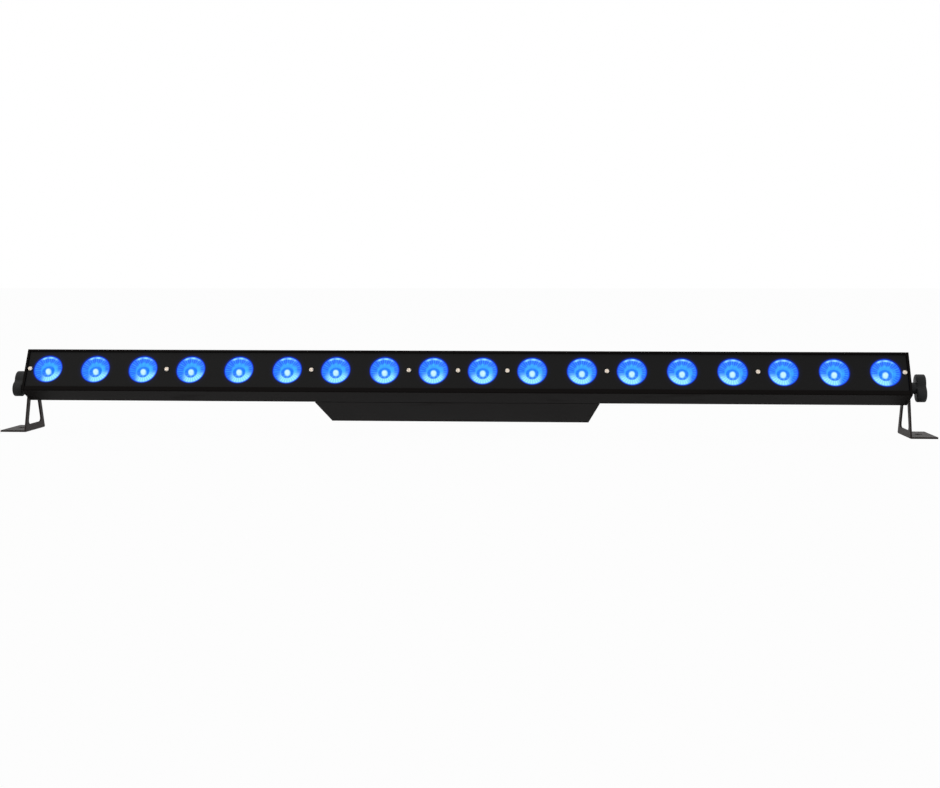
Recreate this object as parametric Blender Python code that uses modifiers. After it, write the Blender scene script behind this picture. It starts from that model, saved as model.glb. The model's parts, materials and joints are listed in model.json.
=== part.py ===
"""LED strip batten: an extruded bar with a row of lenses, a driver box behind it and two tilting floor brackets.

Metres, +Z up, X along the bar, lenses facing -Y. The feet stand on Z = 0 and the origin is under the middle.
"""

import math

import bmesh
import bpy
from mathutils import Matrix, Vector

# Overall sizes
BAR_LENGTH = 1.000
FACE_HEIGHT = 0.0524
SIDE_DEPTH = 0.029
BACK_DEPTH = 0.052
BACK_RISE = 0.014
WALL = 0.002
WIREWAY_WALL = 0.0023
TILT = math.radians(28.0)
GAP = 0.0003

# Front channel
TOP_LIP_HEIGHT = 0.003
BOTTOM_LIP_HEIGHT = 0.0055
LIP_DEPTH = 0.0012
LIP_CHAMFER = 0.0008
SHELF_HEIGHT = 0.0045
SHELF_DEPTH = 0.0015
PANEL_THICKNESS = 0.0015
WEB_FRONT = 0.022

# Lenses and their boards
LENS_COUNT = 18
LENS_PITCH = 0.056
LENS_HEIGHT = 0.0277
LENS_RADIUS = 0.0165
FLANGE_RADIUS = 0.0178
FLANGE_THICKNESS = 0.002
LENS_TAIL_RADIUS = 0.0055
LENS_STEPS = 20
LENSES_PER_BOARD = 6
BOARD_THICKNESS = 0.0016
BOARD_HEIGHT = 0.036
BOARD_MARGIN = 0.017
EMITTER_SIZE = 0.005
EMITTER_HEIGHT = 0.0012

# Panel screws, M3
SCREW_RADIUS = 0.0015
SCREW_HOLE_RADIUS = 0.0018
SCREW_HEAD_RADIUS = 0.0028
SCREW_HEAD_HEIGHT = 0.0018
END_SCREW_INSET = 0.0032
SCREWS_AFTER_LENS = (3, 6, 8, 9, 10, 12, 15)

# Driver box
BOX_CENTRE_X = -0.003
BOX_FRONT_HALF = 0.164
BOX_REAR_HALF = 0.152
BOX_DEPTH = 0.087
BOX_WALL = 0.0015
FIT_CLEARANCE = 0.0004
SOCKET_RADIUS = 0.0115
SOCKET_BORE_RADIUS = 0.0095
SOCKET_BORE_DEPTH = 0.012
SOCKET_DEPTH = 0.018
SOCKET_FLANGE_WIDTH = 0.026
SOCKET_FLANGE_HEIGHT = 0.031
SOCKET_FLANGE_THICKNESS = 0.002
DISPLAY_WIDTH = 0.050
DISPLAY_HEIGHT = 0.020
DISPLAY_DEPTH = 0.010
CONTROL_BOARD_WIDTH = 0.094
BUTTON_RADIUS = 0.003
BUTTON_FLANGE_RADIUS = 0.0042
BUTTON_STAND_OFF = 0.0025
BUTTON_TRAVEL = 0.001
BUTTON_SPACING = 0.013
FUSE_RADIUS = 0.0065
FUSE_LENGTH = 0.016
FUSE_CAP_RADIUS = 0.008
FUSE_CAP_LENGTH = 0.004
POWER_BOARD_LENGTH = 0.150
POWER_BOARD_HEIGHT = 0.036

# Places along the rear panel, from its middle
MAINS_INLET_X = 0.127
MAINS_OUTLET_X = 0.091
FUSE_X = 0.060
DISPLAY_X = 0.006
BUTTONS_X = -0.038
DATA_OUT_X = -0.086
DATA_IN_X = -0.122
POWER_BOARD_X = 0.060
CABLE_X = -0.030
CABLE_RADIUS = 0.002
CABLE_HOLE_RADIUS = 0.003

# End plates, brackets and clamps
END_PLATE = 0.0025
PIVOT_HEIGHT = 0.0545
PIVOT_DEPTH = 0.041
STUD_RADIUS = 0.003
STUD_HOLE_RADIUS = 0.0033
SPACER_THICKNESS = 0.0027
SPACER_RADIUS = 0.011
NUT_RADIUS = 0.0058
NUT_THICKNESS = 0.005
NUT_SIDES = 6
SHEET = 0.002
FOOT_LENGTH = 0.0285
FOOT_HALF_WIDTH = 0.0295
BRACKET_TOP_RADIUS = 0.0135
WINDOW_FLOOR = 0.008
WINDOW_ROOF = 0.0395
WINDOW_LEG = 0.0065
WINDOW_CORNER = 0.004
FOOT_HOLE_RADIUS = 0.00425
WASHER_RADIUS = 0.0075
WASHER_THICKNESS = 0.0012
KNOB_HUB_RADIUS = 0.0066
KNOB_HUB_LENGTH = 0.0075
KNOB_THICKNESS = 0.011
KNOB_MEAN_RADIUS = 0.0114
KNOB_WING = 0.0052
KNOB_WINGS = 2
KNOB_PHASE = {"left": math.radians(232.0), "right": math.radians(245.0)}

# Worked out from the sizes above
MID_HEIGHT = FACE_HEIGHT / 2.0
PANEL_FRONT = LIP_DEPTH + GAP
PANEL_REAR = PANEL_FRONT + PANEL_THICKNESS
WEB_REAR = WEB_FRONT + WALL
BOARD_REAR = WEB_FRONT - GAP
BOARD_FRONT = BOARD_REAR - BOARD_THICKNESS
LENS_REAR = BOARD_FRONT - EMITTER_HEIGHT - GAP
LENS_FACE = PANEL_FRONT + 0.0006
PANEL_FACE = BOX_DEPTH - BOX_WALL
END_FACE = BAR_LENGTH / 2.0 + GAP + END_PLATE
PLATE_INNER = END_FACE + GAP + SPACER_THICKNESS + GAP
PLATE_OUTER = PLATE_INNER + SHEET
PIVOT_TO_FRONT = PIVOT_DEPTH * math.cos(TILT) + (MID_HEIGHT - LIP_CHAMFER) * math.sin(TILT)
PIVOT_TO_REAR = (BOX_DEPTH - PIVOT_DEPTH) * math.cos(TILT) + MID_HEIGHT * math.sin(TILT)
PIVOT_Y = (PIVOT_TO_FRONT - PIVOT_TO_REAR) / 2.0

X_AXIS = Matrix.Rotation(math.pi / 2.0, 4, "Y")
FRONT_AXIS = Matrix.Rotation(math.pi / 2.0, 4, "X")
REAR_AXIS = Matrix.Rotation(-math.pi / 2.0, 4, "X")
PROFILE_TO_X = Matrix(((0, 0, 1, 0), (1, 0, 0, 0), (0, 1, 0, 0), (0, 0, 0, 1)))

for old in list(bpy.data.objects):
    bpy.data.objects.remove(old, do_unlink=True)

PARTS = bpy.data.collections.new("led_strip_batten")
CUTTERS = bpy.data.collections.new("cutters")
bpy.context.scene.collection.children.link(PARTS)
bpy.context.scene.collection.children.link(CUTTERS)


def material(name, colour, roughness, metallic=0.0):
    made = bpy.data.materials.new(name)
    made.use_nodes = True
    shader = made.node_tree.nodes["Principled BSDF"]
    shader.inputs["Base Color"].default_value = (*colour, 1.0)
    shader.inputs["Roughness"].default_value = roughness
    shader.inputs["Metallic"].default_value = metallic
    return made


def frame_empty(name, location, tilt=0.0, parent=None):
    empty = bpy.data.objects.new(name, None)
    empty.location = location
    empty.rotation_euler = (tilt, 0.0, 0.0)
    empty.parent = parent
    PARTS.objects.link(empty)
    return empty


def in_bar(x, depth, height):
    """A point of the bar: depth back from its front edge, height up its face, seen from the pivot."""
    return Vector((x, depth - PIVOT_DEPTH, height - MID_HEIGHT))


def add_object(name, mesh, location, parent, finish):
    made = bpy.data.objects.new(name, mesh)
    made.location = location
    made.parent = parent
    PARTS.objects.link(made)
    mesh.materials.clear()
    mesh.materials.append(finish)
    return made


def mesh_from(bm, name, matrix=None):
    if matrix is not None:
        bmesh.ops.transform(bm, matrix=matrix, verts=bm.verts)
    mesh = bpy.data.meshes.new(name)
    bm.to_mesh(mesh)
    bm.free()
    return mesh


def box_mesh(name, size):
    bm = bmesh.new()
    bmesh.ops.create_cube(bm, size=1.0, matrix=Matrix.Diagonal((*size, 1.0)))
    return mesh_from(bm, name)


def rod_mesh(name, radius, length, axis, segments=24):
    bm = bmesh.new()
    bmesh.ops.create_cone(
        bm, cap_ends=True, segments=segments, radius1=radius, radius2=radius, depth=length
    )
    mesh = mesh_from(bm, name, axis)
    mesh.shade_smooth()
    mesh.set_sharp_from_angle(angle=math.radians(40.0))
    return mesh


def outline_mesh(name, loops, thickness):
    """A flat outline in the depth and height plane, with any holes as further loops, thick along X."""
    curve = bpy.data.curves.new(name, "CURVE")
    curve.dimensions = "2D"
    curve.fill_mode = "BOTH"
    curve.extrude = thickness / 2.0
    for loop in loops:
        spline = curve.splines.new("POLY")
        spline.points.add(len(loop) - 1)
        for point, (across, up) in zip(spline.points, loop):
            point.co = (across, up, 0.0, 1.0)
        spline.use_cyclic_u = True
    drawn = bpy.data.objects.new(name, curve)
    CUTTERS.objects.link(drawn)
    depsgraph = bpy.context.evaluated_depsgraph_get()
    mesh = bpy.data.meshes.new_from_object(drawn.evaluated_get(depsgraph))
    bpy.data.objects.remove(drawn, do_unlink=True)
    bm = bmesh.new()
    bm.from_mesh(mesh)
    bmesh.ops.remove_doubles(bm, verts=bm.verts, dist=1e-6)
    bmesh.ops.recalc_face_normals(bm, faces=bm.faces)
    bpy.data.meshes.remove(mesh)
    return mesh_from(bm, name, PROFILE_TO_X)


def turned(name, profile, location, parent, finish, axis, steps=24):
    """A round piece: its profile is (radius, height) from the top down the outer side."""
    mesh = bpy.data.meshes.new(name)
    points = [(radius, 0.0, height) for radius, height in profile]
    edges = [(index, index + 1) for index in range(len(points) - 1)]
    mesh.from_pydata(points, edges, [])
    made = add_object(name, mesh, location, parent, finish)
    made.rotation_euler = axis.to_euler()
    screw = made.modifiers.new("turn", "SCREW")
    screw.steps = steps
    screw.render_steps = steps
    screw.use_merge_vertices = True
    screw.merge_threshold = 1e-5
    return made


def cutter(name, mesh, location, parent):
    made = bpy.data.objects.new(name, mesh)
    made.location = location
    made.parent = parent
    made.hide_render = True
    made.display_type = "WIRE"
    CUTTERS.objects.link(made)
    return made


def combine(target, other, operation):
    step = target.modifiers.new(other.name, "BOOLEAN")
    step.operation = operation
    step.solver = "EXACT"
    step.object = other


def joined_mesh(name, pieces):
    """One mesh of several separate pieces, each a mesh and the place it goes to."""
    bm = bmesh.new()
    for mesh, place in pieces:
        start = len(bm.verts)
        bm.from_mesh(mesh)
        bm.verts.ensure_lookup_table()
        bmesh.ops.translate(bm, verts=bm.verts[start:], vec=place)
    return mesh_from(bm, name)


def arc(centre, radius, start, end, count):
    angles = [start + (end - start) * step / count for step in range(count + 1)]
    return [(centre[0] + radius * math.cos(a), centre[1] + radius * math.sin(a)) for a in angles]


def rounded(corners, radius, count=3):
    """A closed outline with each corner rounded to one radius."""
    made = []
    for index, corner in enumerate(corners):
        here = Vector(corner)
        before = (Vector(corners[index - 1]) - here).normalized()
        after = (Vector(corners[(index + 1) % len(corners)]) - here).normalized()
        half = before.angle(after) / 2.0
        centre = here + (before + after).normalized() * (radius / math.sin(half))
        first = here + before * (radius / math.tan(half)) - centre
        last = here + after * (radius / math.tan(half)) - centre
        turn = first.angle_signed(last)
        for step in range(count + 1):
            swing = Matrix.Rotation(-turn * step / count, 2)
            made.append(tuple(centre + swing @ first))
    return made


BLACK_PAINT = material("black_paint", (0.011, 0.010, 0.010), 0.42)
PANEL_BLACK = material("panel_black", (0.010, 0.010, 0.010), 0.55)
BRACKET_BLACK = material("bracket_black", (0.030, 0.025, 0.023), 0.5)
KNOB_PLASTIC = material("knob_plastic", (0.035, 0.035, 0.035), 0.55)
LENS_BLUE = material("lens_blue", (0.02, 0.12, 0.95), 0.15)
STEEL = material("zinc_steel", (0.62, 0.60, 0.56), 0.3, 1.0)
BOARD_WHITE = material("board_white", (0.75, 0.76, 0.74), 0.5)
BOARD_GREEN = material("board_green", (0.02, 0.16, 0.06), 0.5)
SOCKET_BLACK = material("socket_black", (0.015, 0.015, 0.016), 0.4)
SOCKET_BLUE = material("socket_blue", (0.03, 0.10, 0.35), 0.4)
SOCKET_GREY = material("socket_grey", (0.42, 0.44, 0.46), 0.4)
DISPLAY_DARK = material("display_dark", (0.02, 0.02, 0.03), 0.1)
CABLE_BLACK = material("cable_black", (0.02, 0.02, 0.02), 0.6)
WASHER_BLACK = material("washer_black", (0.02, 0.02, 0.02), 0.7)


def lens_x(index):
    return (index - (LENS_COUNT - 1) / 2.0) * LENS_PITCH


def screw_places():
    """Where the panel screws stand along the bar: one by each end and one after each listed lens."""
    end = BAR_LENGTH / 2.0 - END_SCREW_INSET
    between = [lens_x(after - 1) + LENS_PITCH / 2.0 for after in SCREWS_AFTER_LENS]
    return [-end] + between + [end]


def outer_outline(clearance=0.0, front=0.0):
    """The bar's outside, from the bottom front edge round the back."""
    top = FACE_HEIGHT + clearance
    side = SIDE_DEPTH + clearance / 2.0
    back = BACK_DEPTH + clearance
    return [
        (front + LIP_CHAMFER, -clearance),
        (side, -clearance),
        (back, BACK_RISE - clearance),
        (back, FACE_HEIGHT - BACK_RISE + clearance),
        (side, top),
        (front + LIP_CHAMFER, top),
        (front, top - LIP_CHAMFER),
        (front, LIP_CHAMFER - clearance),
    ]


def channel_outline():
    """The front channel's inside, down from the top lip: groove, shelf, web, shelf, groove."""
    upper = [(across, FACE_HEIGHT - up) for across, up in channel_half(TOP_LIP_HEIGHT)]
    return upper + channel_half(BOTTOM_LIP_HEIGHT)[::-1]


def channel_half(lip_height):
    """One side of the channel from its lip in to the web, up from the bar's edge."""
    groove_rear = PANEL_REAR + GAP
    shelf_rear = groove_rear + SHELF_DEPTH
    return [
        (0.0, lip_height),
        (LIP_DEPTH, lip_height),
        (LIP_DEPTH, WALL),
        (groove_rear, WALL),
        (groove_rear, SHELF_HEIGHT),
        (shelf_rear, SHELF_HEIGHT),
        (shelf_rear, WALL),
        (WEB_FRONT, WALL),
    ]


def wireway_outline():
    """The hollow behind the web, one wall inside the tapered back."""
    inner_back = BACK_DEPTH - WALL
    inner_rise = BACK_RISE + WALL / 2.0
    inner_side = SIDE_DEPTH - WALL / 3.0
    return [
        (WEB_REAR, WIREWAY_WALL),
        (inner_side, WIREWAY_WALL),
        (inner_back, inner_rise),
        (inner_back, FACE_HEIGHT - inner_rise),
        (inner_side, FACE_HEIGHT - WIREWAY_WALL),
        (WEB_REAR, FACE_HEIGHT - WIREWAY_WALL),
    ]


def make_housing(bar):
    outside = outer_outline()
    section = outside[:7] + channel_outline() + outside[7:]
    mesh = outline_mesh("housing_extrusion", [section, wireway_outline()], BAR_LENGTH)
    housing = add_object("housing_extrusion", mesh, in_bar(0, 0, 0), bar, BLACK_PAINT)
    hole = rod_mesh("web_hole", SCREW_HOLE_RADIUS, WALL * 3.0, FRONT_AXIS, 12)
    pieces = [(hole, in_bar(x, WEB_FRONT + WALL / 2.0, LENS_HEIGHT)) for x in screw_places()]
    cable_way = rod_mesh("cable_way", CABLE_HOLE_RADIUS, BACK_DEPTH - WEB_FRONT + 0.01, FRONT_AXIS, 12)
    middle = (BACK_DEPTH + WEB_FRONT) / 2.0
    pieces.append((cable_way, in_bar(CABLE_X, middle, MID_HEIGHT)))
    combine(housing, cutter("housing_holes", joined_mesh("housing_holes", pieces), (0, 0, 0), bar), "DIFFERENCE")


def make_end_plate(side, sign, bar):
    name = "end_plate_" + side
    stud_hole = arc((PIVOT_DEPTH, MID_HEIGHT), STUD_HOLE_RADIUS, 0.0, math.tau * 15 / 16, 15)
    mesh = outline_mesh(name, [outer_outline(), stud_hole], END_PLATE)
    place = in_bar(sign * (BAR_LENGTH / 2.0 + GAP + END_PLATE / 2.0), 0, 0)
    add_object(name, mesh, place, bar, BLACK_PAINT)


def make_front_panel(bar):
    height = FACE_HEIGHT - 2.0 * (WALL + GAP)
    mesh = box_mesh("front_panel", (BAR_LENGTH - 2.0 * GAP, PANEL_THICKNESS, height))
    middle = (PANEL_FRONT + PANEL_REAR) / 2.0
    panel = add_object("front_panel", mesh, in_bar(0, middle, MID_HEIGHT), bar, PANEL_BLACK)
    window = rod_mesh("lens_hole", LENS_RADIUS + GAP, PANEL_THICKNESS * 3.0, FRONT_AXIS, 32)
    hole = rod_mesh("panel_hole", SCREW_HOLE_RADIUS, PANEL_THICKNESS * 3.0, FRONT_AXIS, 12)
    pieces = [(window, in_bar(lens_x(i), middle, LENS_HEIGHT)) for i in range(LENS_COUNT)]
    pieces += [(hole, in_bar(x, middle, LENS_HEIGHT)) for x in screw_places()]
    combine(panel, cutter("panel_holes", joined_mesh("panel_holes", pieces), (0, 0, 0), bar), "DIFFERENCE")


def make_lens(index, bar):
    """A collimating lens: a domed face in the panel's hole, a flange behind it and a tapering tail."""
    flange_front = PANEL_REAR + GAP
    flange_rear = flange_front + FLANGE_THICKNESS
    neck = LENS_RADIUS - 0.001
    profile = [
        (0.0, -(LENS_FACE - 0.0004)),
        (LENS_RADIUS * 0.7, -LENS_FACE),
        (LENS_RADIUS, -(LENS_FACE + 0.0006)),
        (LENS_RADIUS, -flange_front),
        (FLANGE_RADIUS, -flange_front),
        (FLANGE_RADIUS, -flange_rear),
        (neck, -flange_rear),
        (LENS_TAIL_RADIUS, -LENS_REAR),
        (0.0, -LENS_REAR),
    ]
    place = in_bar(lens_x(index), 0, LENS_HEIGHT)
    turned("lens_%02d" % (index + 1), profile, place, bar, LENS_BLUE, FRONT_AXIS, LENS_STEPS)


def make_led_board(index, bar):
    """One board with its six emitters and the clearance holes for the panel screws that cross it."""
    first = index * LENSES_PER_BOARD
    centre = (lens_x(first) + lens_x(first + LENSES_PER_BOARD - 1)) / 2.0
    length = (LENSES_PER_BOARD - 1) * LENS_PITCH + 2.0 * BOARD_MARGIN
    name = "led_board_%d" % (index + 1)
    middle = BOARD_FRONT + BOARD_THICKNESS / 2.0
    mesh = box_mesh(name, (length, BOARD_THICKNESS, BOARD_HEIGHT))
    board = add_object(name, mesh, in_bar(centre, middle, LENS_HEIGHT), bar, BOARD_WHITE)
    depth = EMITTER_HEIGHT + BOARD_THICKNESS / 2.0
    chip = box_mesh("emitter", (EMITTER_SIZE, depth, EMITTER_SIZE))
    chip_middle = BOARD_FRONT - EMITTER_HEIGHT + depth / 2.0
    lenses = range(first, first + LENSES_PER_BOARD)
    chips = [(chip, in_bar(lens_x(i), chip_middle, LENS_HEIGHT)) for i in lenses]
    combine(board, cutter(name + "_chips", joined_mesh(name + "_chips", chips), (0, 0, 0), bar), "UNION")
    hole = rod_mesh("board_hole", SCREW_HOLE_RADIUS, BOARD_THICKNESS * 3.0, FRONT_AXIS, 12)
    crossed = [x for x in screw_places() if abs(x - centre) < length / 2.0]
    holes = [(hole, in_bar(x, middle, LENS_HEIGHT)) for x in crossed]
    combine(board, cutter(name + "_holes", joined_mesh(name + "_holes", holes), (0, 0, 0), bar), "DIFFERENCE")


def make_panel_screw(index, x, bar):
    head_rear = PANEL_FRONT - GAP
    tip = WEB_REAR - GAP
    profile = [
        (0.0, -(head_rear - SCREW_HEAD_HEIGHT)),
        (SCREW_HEAD_RADIUS * 0.7, -(head_rear - SCREW_HEAD_HEIGHT * 0.8)),
        (SCREW_HEAD_RADIUS, -(head_rear - SCREW_HEAD_HEIGHT * 0.3)),
        (SCREW_HEAD_RADIUS, -head_rear),
        (SCREW_RADIUS, -head_rear),
        (SCREW_RADIUS, -tip),
        (0.0, -tip),
    ]
    turned("panel_screw_%d" % (index + 1), profile, in_bar(x, 0, LENS_HEIGHT), bar, STEEL, FRONT_AXIS, 12)


def box_half_length(depth):
    """Half the driver box's length at a depth, as its ends slant in towards the rear."""
    share = (depth - SIDE_DEPTH) / (BOX_DEPTH - SIDE_DEPTH)
    return BOX_FRONT_HALF + (BOX_REAR_HALF - BOX_FRONT_HALF) * share


def slanted_block(name, front, rear, shrink, height):
    """A block between two depths whose ends follow the driver box's slant, smaller all round by shrink."""
    bm = bmesh.new()
    bmesh.ops.create_cube(bm, size=1.0)
    for vert in bm.verts:
        depth = rear if vert.co.y > 0 else front
        vert.co.x = math.copysign(box_half_length(depth) - shrink, vert.co.x)
        vert.co.y = depth - PIVOT_DEPTH
        vert.co.z = math.copysign(height / 2.0 - shrink, vert.co.z)
    return mesh_from(bm, name)


def make_driver_box(bar):
    front = SIDE_DEPTH + GAP
    rear = PANEL_FACE - GAP
    place = (BOX_CENTRE_X, 0.0, 0.0)
    mesh = slanted_block("driver_box_shell", front, rear, 0.0, FACE_HEIGHT)
    shell = add_object("driver_box_shell", mesh, place, bar, BLACK_PAINT)
    inside = slanted_block("box_inside", front - 0.01, rear + 0.01, BOX_WALL, FACE_HEIGHT)
    combine(shell, cutter("box_inside", inside, place, bar), "DIFFERENCE")
    seat = outline_mesh("box_seat", [outer_outline(FIT_CLEARANCE)], BOX_FRONT_HALF * 4.0)
    combine(shell, cutter("box_seat", seat, in_bar(0, 0, 0), bar), "DIFFERENCE")


def button_places():
    """The four menu buttons stand in a square on the rear panel."""
    half = BUTTON_SPACING / 2.0
    return [(BUTTONS_X + dx, MID_HEIGHT + dz) for dx in (-half, half) for dz in (half, -half)]


def socket_places():
    return (DATA_IN_X, DATA_OUT_X, MAINS_OUTLET_X, MAINS_INLET_X)


def on_panel(x, depth, height):
    return in_bar(BOX_CENTRE_X + x, depth, height)


def make_rear_panel(bar):
    name = "driver_box_rear_panel"
    mesh = slanted_block(name, PANEL_FACE, BOX_DEPTH, 0.0, FACE_HEIGHT)
    panel = add_object(name, mesh, (BOX_CENTRE_X, 0.0, 0.0), bar, BLACK_PAINT)
    middle = (PANEL_FACE + BOX_DEPTH) / 2.0
    reach = BOX_WALL * 3.0
    round_hole = rod_mesh("socket_hole", SOCKET_RADIUS + GAP, reach, FRONT_AXIS, 24)
    button_hole = rod_mesh("button_hole", BUTTON_RADIUS + GAP, reach, FRONT_AXIS, 16)
    fuse_hole = rod_mesh("fuse_hole", FUSE_RADIUS + GAP, reach, FRONT_AXIS, 20)
    display_hole = box_mesh("display_hole", (DISPLAY_WIDTH + 2 * GAP, reach, DISPLAY_HEIGHT + 2 * GAP))
    pieces = [(round_hole, on_panel(x, middle, MID_HEIGHT)) for x in socket_places()]
    pieces += [(button_hole, on_panel(x, middle, z)) for x, z in button_places()]
    pieces.append((fuse_hole, on_panel(FUSE_X, middle, MID_HEIGHT)))
    pieces.append((display_hole, on_panel(DISPLAY_X, middle, MID_HEIGHT)))
    combine(panel, cutter("rear_panel_holes", joined_mesh("rear_holes", pieces), (0, 0, 0), bar), "DIFFERENCE")


def make_socket(name, x, bar, finish):
    """A panel socket: a flange outside the panel, a body through it and a round mouth, open to the rear."""
    flange_front = BOX_DEPTH + GAP
    flange_rear = flange_front + SOCKET_FLANGE_THICKNESS
    size = (SOCKET_FLANGE_WIDTH, SOCKET_FLANGE_THICKNESS, SOCKET_FLANGE_HEIGHT)
    mesh = box_mesh(name, size)
    place = on_panel(x, (flange_front + flange_rear) / 2.0, MID_HEIGHT)
    socket = add_object(name, mesh, place, bar, finish)
    body_front = flange_front - SOCKET_DEPTH
    length = flange_front - body_front + SOCKET_FLANGE_THICKNESS / 2.0
    body = rod_mesh(name + "_body", SOCKET_RADIUS, length, FRONT_AXIS, 24)
    combine(socket, cutter(name + "_body", body, on_panel(x, body_front + length / 2.0, MID_HEIGHT), bar), "UNION")
    mouth = rod_mesh(name + "_mouth", SOCKET_BORE_RADIUS, SOCKET_BORE_DEPTH * 2.0, FRONT_AXIS, 24)
    combine(socket, cutter(name + "_mouth", mouth, on_panel(x, flange_rear, MID_HEIGHT), bar), "DIFFERENCE")


def make_display(bar):
    size = (DISPLAY_WIDTH, DISPLAY_DEPTH, DISPLAY_HEIGHT)
    place = on_panel(DISPLAY_X, BOX_DEPTH - DISPLAY_DEPTH / 2.0, MID_HEIGHT)
    add_object("display_window", box_mesh("display_window", size), place, bar, DISPLAY_DARK)


def make_control_board(bar):
    """The board that carries the display and takes the buttons' stems."""
    size = (CONTROL_BOARD_WIDTH, BOARD_THICKNESS, POWER_BOARD_HEIGHT)
    rear = BOX_DEPTH - DISPLAY_DEPTH - GAP
    place = on_panel((DISPLAY_X + BUTTONS_X) / 2.0, rear - BOARD_THICKNESS / 2.0, MID_HEIGHT)
    add_object("control_board", box_mesh("control_board", size), place, bar, BOARD_GREEN)


def make_button(index, x, height, bar):
    """A menu button on its own slide: cap, stop flange behind the panel and a stem above the board."""
    tip = BOX_DEPTH - DISPLAY_DEPTH - GAP + BUTTON_TRAVEL + GAP
    stop = PANEL_FACE - GAP
    top = BOX_DEPTH + BUTTON_STAND_OFF
    profile = [
        (0.0, top),
        (BUTTON_RADIUS * 0.8, top),
        (BUTTON_RADIUS, top - 0.0006),
        (BUTTON_RADIUS, stop),
        (BUTTON_FLANGE_RADIUS, stop),
        (BUTTON_FLANGE_RADIUS, stop - 0.001),
        (BUTTON_RADIUS * 0.6, stop - 0.001),
        (BUTTON_RADIUS * 0.6, tip),
        (0.0, tip),
    ]
    turned("menu_button_%d" % index, profile, on_panel(x, 0, height), bar, KNOB_PLASTIC, REAR_AXIS, 16)


def make_fuse_holder(bar):
    """A fuse carrier that pulls out of the rear panel, with a wider cap to hold it by."""
    seat = BOX_DEPTH + GAP
    profile = [
        (0.0, seat + FUSE_CAP_LENGTH),
        (FUSE_CAP_RADIUS * 0.85, seat + FUSE_CAP_LENGTH),
        (FUSE_CAP_RADIUS, seat + FUSE_CAP_LENGTH * 0.75),
        (FUSE_CAP_RADIUS, seat),
        (FUSE_RADIUS, seat),
        (FUSE_RADIUS, seat - FUSE_LENGTH),
        (0.0, seat - FUSE_LENGTH),
    ]
    turned("fuse_carrier", profile, on_panel(FUSE_X, 0, MID_HEIGHT), bar, SOCKET_BLACK, REAR_AXIS, 20)


def make_power_board(bar):
    """The power supply: a board against the bar's back with its transformer, capacitors and heat sink."""
    name = "power_supply_board"
    front = BACK_DEPTH + GAP
    size = (POWER_BOARD_LENGTH, BOARD_THICKNESS, POWER_BOARD_HEIGHT)
    middle = front + BOARD_THICKNESS / 2.0
    place = in_bar(BOX_CENTRE_X + POWER_BOARD_X, middle, MID_HEIGHT)
    board = add_object(name, box_mesh(name, size), place, bar, BOARD_GREEN)
    transformer = box_mesh("transformer", (0.026, 0.010, 0.022))
    heat_sink = box_mesh("heat_sink", (0.040, 0.008, 0.004))
    capacitor = rod_mesh("capacitor", 0.006, 0.010, FRONT_AXIS, 12)
    raised = middle + 0.005
    pieces = [
        (transformer, on_panel(POWER_BOARD_X - 0.020, raised, MID_HEIGHT)),
        (heat_sink, on_panel(POWER_BOARD_X + 0.022, middle + 0.004, MID_HEIGHT + 0.012)),
        (capacitor, on_panel(POWER_BOARD_X + 0.012, raised, MID_HEIGHT - 0.006)),
        (capacitor, on_panel(POWER_BOARD_X + 0.030, raised, MID_HEIGHT - 0.006)),
    ]
    combine(board, cutter("power_parts", joined_mesh("power_parts", pieces), (0, 0, 0), bar), "UNION")


def make_lamp_cable(bar):
    """The lead from the driver box through the bar's back to the boards, held along its whole run."""
    route = (
        (CABLE_X, WEB_FRONT, MID_HEIGHT),
        (CABLE_X, WEB_REAR + 0.004, MID_HEIGHT),
        (CABLE_X, (WEB_REAR + BACK_DEPTH) / 2.0, MID_HEIGHT),
        (CABLE_X, BACK_DEPTH - WALL - 0.003, MID_HEIGHT),
        (CABLE_X, BACK_DEPTH + 0.006, MID_HEIGHT),
    )
    curve = bpy.data.curves.new("lamp_cable", "CURVE")
    curve.dimensions = "3D"
    curve.bevel_depth = CABLE_RADIUS
    curve.bevel_resolution = 2
    curve.use_fill_caps = True
    spline = curve.splines.new("POLY")
    spline.points.add(len(route) - 1)
    for point, place in zip(spline.points, route):
        point.co = (*in_bar(*place), 1.0)
    cable = bpy.data.objects.new("lamp_cable", curve)
    cable.parent = bar
    curve.materials.append(CABLE_BLACK)
    PARTS.objects.link(cable)


def bracket_outline():
    """The upright plate: flared down to the foot and rounded about the pivot, with its window and hole."""
    slope = (FOOT_HALF_WIDTH - BRACKET_TOP_RADIUS) / PIVOT_HEIGHT
    lean = math.atan(slope)
    crown = arc((0.0, PIVOT_HEIGHT), BRACKET_TOP_RADIUS, lean, math.pi - lean, 10)
    bend = SHEET / 2.0
    root = FOOT_HALF_WIDTH - slope * bend
    plate = [(-root, bend), (root, bend)] + crown
    low = FOOT_HALF_WIDTH - slope * WINDOW_FLOOR - WINDOW_LEG
    high = FOOT_HALF_WIDTH - slope * WINDOW_ROOF - WINDOW_LEG
    corners = [(-low, WINDOW_FLOOR), (low, WINDOW_FLOOR), (high, WINDOW_ROOF), (-high, WINDOW_ROOF)]
    hole = arc((0.0, PIVOT_HEIGHT), STUD_HOLE_RADIUS, 0.0, math.tau * 15 / 16, 15)
    return [plate, rounded(corners, WINDOW_CORNER), hole]


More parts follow.
